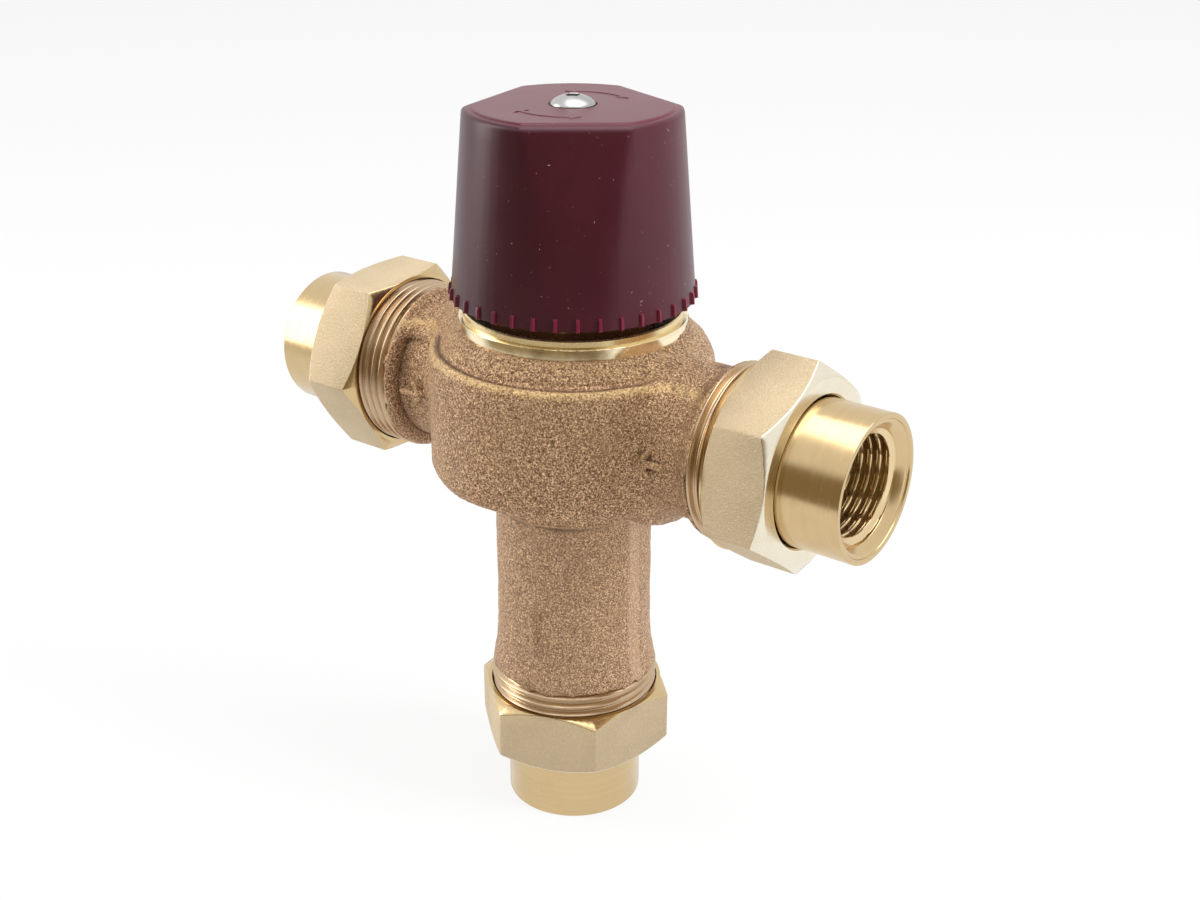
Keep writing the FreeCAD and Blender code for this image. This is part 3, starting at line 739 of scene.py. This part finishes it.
def union_nut(port):
    """A hexagon nut with chamfered ends, a plain bore for the thread and a shoulder."""
    inner, outer = reach(port + "_union_nut", port)
    angles, hexagon = nut_columns()
    angles = angles + math.radians(nut_turn[port] + 30)
    land = nut_flats / 2 - nut_land
    chamfer = (hexagon - land) * math.tan(math.radians(30))
    shoulder = outer - nut_shoulder
    thread_bore = thread_r + 0.1
    hole = tail_r + 0.34
    ease = 0.12
    steps = [
        (hole, shoulder, 1), (hole, outer - 0.3, 3), (hole + 0.3, outer, 3),
        (land - ease, outer, 3), (land + ease, outer - ease * 0.58, 3),
        (hexagon - ease * 0.8, outer - chamfer + ease * 0.45, 3),
        (hexagon, outer - chamfer - ease, 0), (hexagon, inner + chamfer + ease, 1),
        (hexagon - ease * 0.8, inner + chamfer - ease * 0.45, 1),
        (land + ease, inner + ease * 0.58, 1), (land - ease, inner, 1),
        (thread_bore + 0.9, inner, 1), (thread_bore, inner + 0.9, 2),
        (thread_bore, shoulder, 2)]
    rings = [circle(r, h, angles) for r, h, finish in steps]
    piece = skin(port + "_nut", rings, [BLASTED, BRIGHT, THREAD, FACED],
                 [finish for r, h, finish in steps], sharp=35)
    return place(piece, port, port + "_nut", "blasted_brass", port + "_union_nut")


def tailpiece(port):
    """A round tail with its collar at the gasket and a cut pipe thread in its mouth."""
    collar_face, end = reach(port + "_tailpiece", port)
    angles = bearings(thread_columns)
    mouth = end - (mouth_r - pipe_r)
    foot = end - pipe_depth
    outside = eased([(waterway_r, collar_face), (tail_collar_r, collar_face),
                     (tail_collar_r, collar_face + tail_collar),
                     (tail_r, collar_face + tail_collar), (tail_r, end),
                     (mouth_r + 0.75, end), (mouth_r + 0.6, end - 0.45),
                     (mouth_r, end - 0.5), (pipe_r + 0.6, mouth)], 0.22)[2:-2]
    rings = [circle(r, h, angles) for r, h in outside]
    thread = helix_rings(pipe_r + pipe_groove, -pipe_cut, foot, mouth - 0.1)
    rings += thread[::-1]
    rings += [circle(waterway_r, foot - 1.2, angles), circle(waterway_r, collar_face, angles)]
    piece = skin(port + "_tail", rings, [BRIGHT, TAPPED],
                 [0] * len(outside) + [1] * (len(rings) - len(outside)), sharp=50)
    return place(piece, port, port + "_tail", "bright_brass", port + "_tailpiece")


# ---------------------------------------------------------------- cap
def cap_columns():
    """Bearings from the first flat's middle on, close together at each rib's edges."""
    half = math.degrees(rib_width / 2 / cap_foot_r)
    offsets = (-half - 0.2, -half, -half + 0.25, half - 0.25, half, half + 0.2, 3.3, 5.6)
    shares = (0, 0.75, 1.0, 1.0, 0.75, 0, 0, 0)
    pitch = 360 / rib_count
    bearing, rib = [], []
    for k in range(rib_count):
        for offset, share in zip(offsets, shares):
            bearing.append(first_rib + pitch * k + offset)
            rib.append(share)
    return np.array(bearing), np.array(rib)


def cap_ring(bearing, height, inset=0.0, proud=0.0):
    """The cap's outline at a height: a cone, with three flats that fade out downwards."""
    share = (min(height, cap_top) - cap_foot) / (cap_top - cap_foot)
    cone = cap_foot_r + (cap_top_r - cap_foot_r) * share - inset
    flat_top = cap_top_r * math.cos(math.radians(flat_half))
    flat = cap_foot_r + flat_fade + (flat_top - cap_foot_r - flat_fade) * share - inset
    off_flat = np.radians((bearing + 60) % 120 - 60)
    ease = 0.15 + crease_ease * (1 - share)
    radius = blended(flat / np.cos(off_flat), np.full(len(bearing), cone), ease) + proud
    return circle(radius, height, np.radians(bearing + cap_turn))


def adjusting_cap():
    """The moulded cap: ribbed foot, three flats, raised top plate and a seat for its screw."""
    bearing, rib = cap_columns()
    rib_top = cap_foot + rib_height
    rings, finish = [], []

    def ring(height, inset=0.0, ribbed=0.0, material=0):
        rings.append(cap_ring(bearing, height, inset, ribbed * rib_proud * rib))
        finish.append(material)

    ring(cap_foot + 0.12, 0.0, 1.0)
    ring(rib_top - 0.45, 0.0, 1.0)
    ring(rib_top - 0.12, 0.0, 0.75)
    ring(rib_top, 0.0, 0.0)
    edge_top = cap_top - plate_raise
    for height in np.linspace(rib_top + 1, edge_top - cap_edge, 14):
        ring(height)
    for k in range(1, 7):
        a = math.radians(15 * k)
        ring(edge_top - cap_edge + cap_edge * math.sin(a), cap_edge * (1 - math.cos(a)))
    ring(edge_top, cap_edge + 0.25)
    ring(cap_top - 0.08, cap_edge + 0.42)
    ring(cap_top, cap_edge + 0.55)
    ring(cap_top, cap_edge + 1.2)
    angles = np.radians(bearing + cap_turn)
    for r, h in ((8, cap_top), (screw_r + 0.42, cap_top), (screw_r + 0.32, cap_top - 0.1),
                 (screw_r + 0.3, screw_seat), (2.1, screw_seat),
                 (2.1, cap_top - plate_depth), (12, cap_top - plate_depth)):
        rings.append(circle(r, h, angles))
        finish.append(0)
    ring(cap_top - plate_depth - 0.2, cap_wall + 0.3)
    ring(cap_foot, cap_wall)
    ring(cap_foot, 0.25, 0.3)
    piece = skin("burgundy_cap", rings, [CAP, RIB_HIGHLIT], finish, sharp=40)
    # Faces on the ribs take the lighter copy of the plastic, a painted highlight.
    pitch = 360 / rib_count
    for face in piece.data.polygons:
        centre = face.center / MM
        bearing_here = math.degrees(math.atan2(centre.y, centre.x)) - cap_turn - first_rib
        off_rib = (bearing_here + pitch / 2) % pitch - pitch / 2
        outside = math.hypot(centre.x, centre.y) > rib_floor_r
        if centre.z < rib_top and abs(off_rib) < 1.1 and outside:
            face.material_index = 1
    return place(piece, "stem", "adjuster", "burgundy_plastic", "adjusting_cap")


def turning_marks():
    """Two raised double-ended arrows on the cap's top, on a circle round its screw."""
    tip, neck = 36, 26
    head, line = 1.3, 0.4
    for side, middle in (("left", 150.0), ("right", -30.0)):
        steps = [(-tip, 0), (-neck, head), (-neck, line)]
        steps += [(bearing, line) for bearing in range(-20, 21, 5)]
        steps += [(neck, line), (neck, head), (tip, 0)]
        rings = []
        for offset, half in steps:
            turn = math.radians(middle + cap_turn + offset)
            foot = half * 1.4
            section = ((mark_r - foot, -0.02), (mark_r - half, mark_raise),
                       (mark_r + half, mark_raise), (mark_r + foot, -0.02))
            rings.append([(r * math.cos(turn), r * math.sin(turn), cap_top + h)
                          for r, h in section])
        place(skin(side + "_turning_mark", rings, [CAP], closed=False, sharp=30), "stem",
              "adjuster", "burgundy_plastic")


def cap_screw():
    """A button-head screw with a hexagon socket."""
    angles = bearings(96)
    off_flat = (np.degrees(angles) + 30) % 60 - 30
    socket = socket_half / np.cos(np.radians(off_flat))

    def dome(radius):
        share = (1 - (radius / screw_r) ** 2) ** 0.72
        return screw_seat + screw_edge + (screw_dome - screw_edge) * share

    rings = [circle(0, screw_seat, angles), circle(screw_r - 0.1, screw_seat, angles),
             circle(screw_r, screw_seat + 0.1, angles)]
    for radius in screw_r * np.sin(np.radians(np.linspace(90, 24, 14))):
        rings.append(circle(radius, dome(radius), angles))
    rings += [circle(socket + 0.12, dome(socket + 0.12), angles),
              circle(socket, dome(socket) - 0.12, angles),
              circle(socket, screw_seat + 0.8, angles), circle(0, screw_seat + 0.6, angles)]
    piece = skin("dome_screw", rings, [STEEL], closed=False, sharp=35)
    return place(piece, "stem", "adjuster", "screw_steel", "cap_screw")


# ---------------------------------------------------------------- springs
def spring(node, along, wire_r, turns, body, held_high):
    """A wire coil in its node's place, riding on the given body."""
    corners = np.array(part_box(node)) / MM
    across = [axis for axis in range(3) if axis != along]
    middle = corners.mean(axis=0)
    coil_r = (corners[1] - corners[0])[across].min() / 2 - wire_r
    low, high = corners[0][along] + 0.03, corners[1][along] - 0.03
    rings = []
    for t in np.linspace(0, 1, int(spring_steps * turns) + 1):
        turn = 2 * math.pi * turns * t
        ring = np.tile(middle, (spring_sides, 1))
        section = np.linspace(0, 2 * math.pi, spring_sides, endpoint=False)
        out = coil_r + wire_r * np.cos(section)
        ring[:, across[0]] += out * math.cos(turn)
        ring[:, across[1]] += out * math.sin(turn)
        ring[:, along] = low + wire_r + (high - low - 2 * wire_r) * t + wire_r * np.sin(section)
        rings.append(ring)
    ends = [np.tile(ring.mean(axis=0), (spring_sides, 1)) for ring in (rings[0], rings[-1])]
    piece = skin(node.replace("spring", "coil"), [ends[0]] + rings + [ends[1]], [SPRING],
                 closed=False)
    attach(piece, body)
    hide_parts(node)
    anchor = middle.copy()
    anchor[along] = corners[1][along] if held_high else corners[0][along]
    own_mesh(piece)


# ---------------------------------------------------------------- making them all
cast_body()
collar()
adjusting_cap()
turning_marks()
cap_screw()
for port in PORTS:
    male_thread(port)
    union_nut(port)
    tailpiece(port)
spring("overload_spring", 2, 0.65, 4.5, "cup", True)
spring("return_spring", 2, 0.6, 5, "valve_body", False)
spring("hot_check_spring", 0, 0.3, 5, "valve_body", False)
spring("cold_check_spring", 0, 0.3, 5, "valve_body", True)

# The other inner pieces keep their solids and take a finish.
NODE_FINISH = {
    "bonnet": bonnet_brass(), "bonnet_o_ring": RUBBER, "lower_seat": DARK_PLASTIC,
    "spindle": STEM, "spindle_o_ring": RUBBER,
    "spindle_clip": SPRING, "spring_cup": STEM, "cup_clip": SPRING,
    "overload_plunger": STEM, "element_piston": SPRING,
    "thermal_element": CAPSULE, "shuttle": DARK_PLASTIC, "shuttle_o_ring": RUBBER,
}
for port in PORTS:
    NODE_FINISH[port + "_gasket"] = RUBBER
for side, port in SIDES:
    NODE_FINISH.update({
        port + "_screen": SPRING, port + "_check_housing": PALE_PLASTIC,
        port + "_check_o_ring": RUBBER, port + "_check_poppet": DARK_PLASTIC,
        port + "_poppet_seal": RUBBER})
for name, finish in NODE_FINISH.items():
    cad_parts[name].data.materials.clear()
    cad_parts[name].data.materials.append(finish)


# ---------------------------------------------------------------- floor, light and camera
DARK_END = (0.30, 0.235, 0.14)


def floor():
    """A white floor, clear from below, that brass sees darken towards the room's dark end."""
    half = 6.0
    glow_share = 0.86
    mesh = bpy.data.meshes.new("floor")
    corners = [(-half, -half, 0), (half, -half, 0), (half, half, 0), (-half, half, 0)]
    mesh.from_pydata(corners, [], [(0, 1, 2, 3)])
    piece = bpy.data.objects.new("floor", mesh)
    bpy.context.scene.collection.objects.link(piece)
    f = Finish("pale_floor", Base_Color=(0.86, 0.86, 0.86, 1), Roughness=0.9)
    seen = f.add("ShaderNodeLightPath", output="Is Camera Ray")
    mirrored = f.add("ShaderNodeLightPath", output="Is Glossy Ray")
    through = f.add("ShaderNodeLightPath", output="Is Transmission Ray")
    east, north = f.split(f.here)[:2]
    away = (east * east + north * north) ** 0.5
    unlit = f.unlit_end(east, north * -1) * away.above(0.22, 0.34) * mirrored
    glow = f.add("ShaderNodeEmission", None,
                 {"Color": f.mix(unlit, (1, 1, 1), DARK_END), "Strength": 1.0})
    shader = Signal(f, f.shader.outputs[0])
    factor = (seen + mirrored + through) * glow_share + unlit * (1 - glow_share)
    whitened = f.add("ShaderNodeMixShader", None, {0: factor, 1: shader, 2: glow})
    under = f.add("ShaderNodeNewGeometry", output="Backfacing")
    clear = f.add("ShaderNodeBsdfTransparent")
    both = f.add("ShaderNodeMixShader", None, {0: under, 1: whitened, 2: clear})
    f.join(f.tree.nodes["Material Output"].inputs["Surface"], both)
    mesh.materials.append(f.material)


def room_light():
    """White to the eye and to metal, with a dark end to the room; dimmer as plain light."""
    plain_share = 0.42
    world = bpy.data.worlds.new("soft_room")
    bpy.context.scene.world = world
    world.use_nodes = True
    room = Nodes(world.node_tree)
    east, north, rise = room.split(room.add("ShaderNodeTexCoord", output="Generated"))
    level = rise.above(-0.72, -0.5) * (1 - rise.above(0.36, 0.58))
    seen = room.add("ShaderNodeLightPath", output="Is Camera Ray")
    through = room.add("ShaderNodeLightPath", output="Is Transmission Ray")
    mirrored = room.add("ShaderNodeLightPath", output="Is Glossy Ray")
    plain = room.add("ShaderNodeLightPath", output="Is Diffuse Ray")
    unlit = room.unlit_end(east, north * -1) * level * mirrored
    background = world.node_tree.nodes["Background"]
    room.join(background.inputs["Color"], room.mix(unlit, (1, 1, 1), DARK_END))
    room.join(background.inputs["Strength"],
              (seen + through + mirrored).above(0, 1) + plain * plain_share)


def softbox(name, spot, size, power, mirrored=True):
    """A soft lamp aimed at the valve; metal shows it only if mirrored is true."""
    data = bpy.data.lights.new(name, "AREA")
    data.shape, data.size, data.size_y, data.energy = "RECTANGLE", *size, power
    lamp = bpy.data.objects.new(name, data)
    bpy.context.scene.collection.objects.link(lamp)
    lamp.location = spot
    lamp.visible_glossy = mirrored
    aim = Vector((0, 0, crossing * MM)) - Vector(spot)
    lamp.rotation_mode = "QUATERNION"
    lamp.rotation_quaternion = aim.to_track_quat("-Z", "Y")


def camera():
    """The camera, by its bearing, rise and distance from a point in the valve."""
    azimuth, elevation, roll = (math.radians(a) for a in (36.575, 23.508, 0.25))
    distance = 0.3208
    target = Vector((0.00631, 0, (crossing - 8.03) * MM))
    back = Vector((math.sin(azimuth) * math.cos(elevation),
                   -math.cos(azimuth) * math.cos(elevation), math.sin(elevation)))
    data = bpy.data.cameras.new("camera")
    data.lens, data.sensor_width = 50.45, 36.0
    data.clip_start, data.clip_end = 0.01, 50
    eye = bpy.data.objects.new("camera", data)
    bpy.context.scene.collection.objects.link(eye)
    eye.location = target + back * distance
    eye.rotation_mode = "QUATERNION"
    tilt = Matrix.Rotation(roll, 4, back).to_quaternion()
    eye.rotation_quaternion = tilt @ (-back).to_track_quat("-Z", "Y")
    bpy.context.scene.camera = eye


floor()
room_light()
softbox("overhead", (0.10, 0.05, 0.80), (0.7, 0.7), 3.6)
softbox("left_side", (-0.65, -0.35, 0.35), (0.35, 0.7), 2.8)
softbox("right_side", (0.75, 0.22, 0.35), (0.35, 0.7), 9.0, mirrored=False)
camera()
bpy.context.scene.view_settings.view_transform = "Standard"
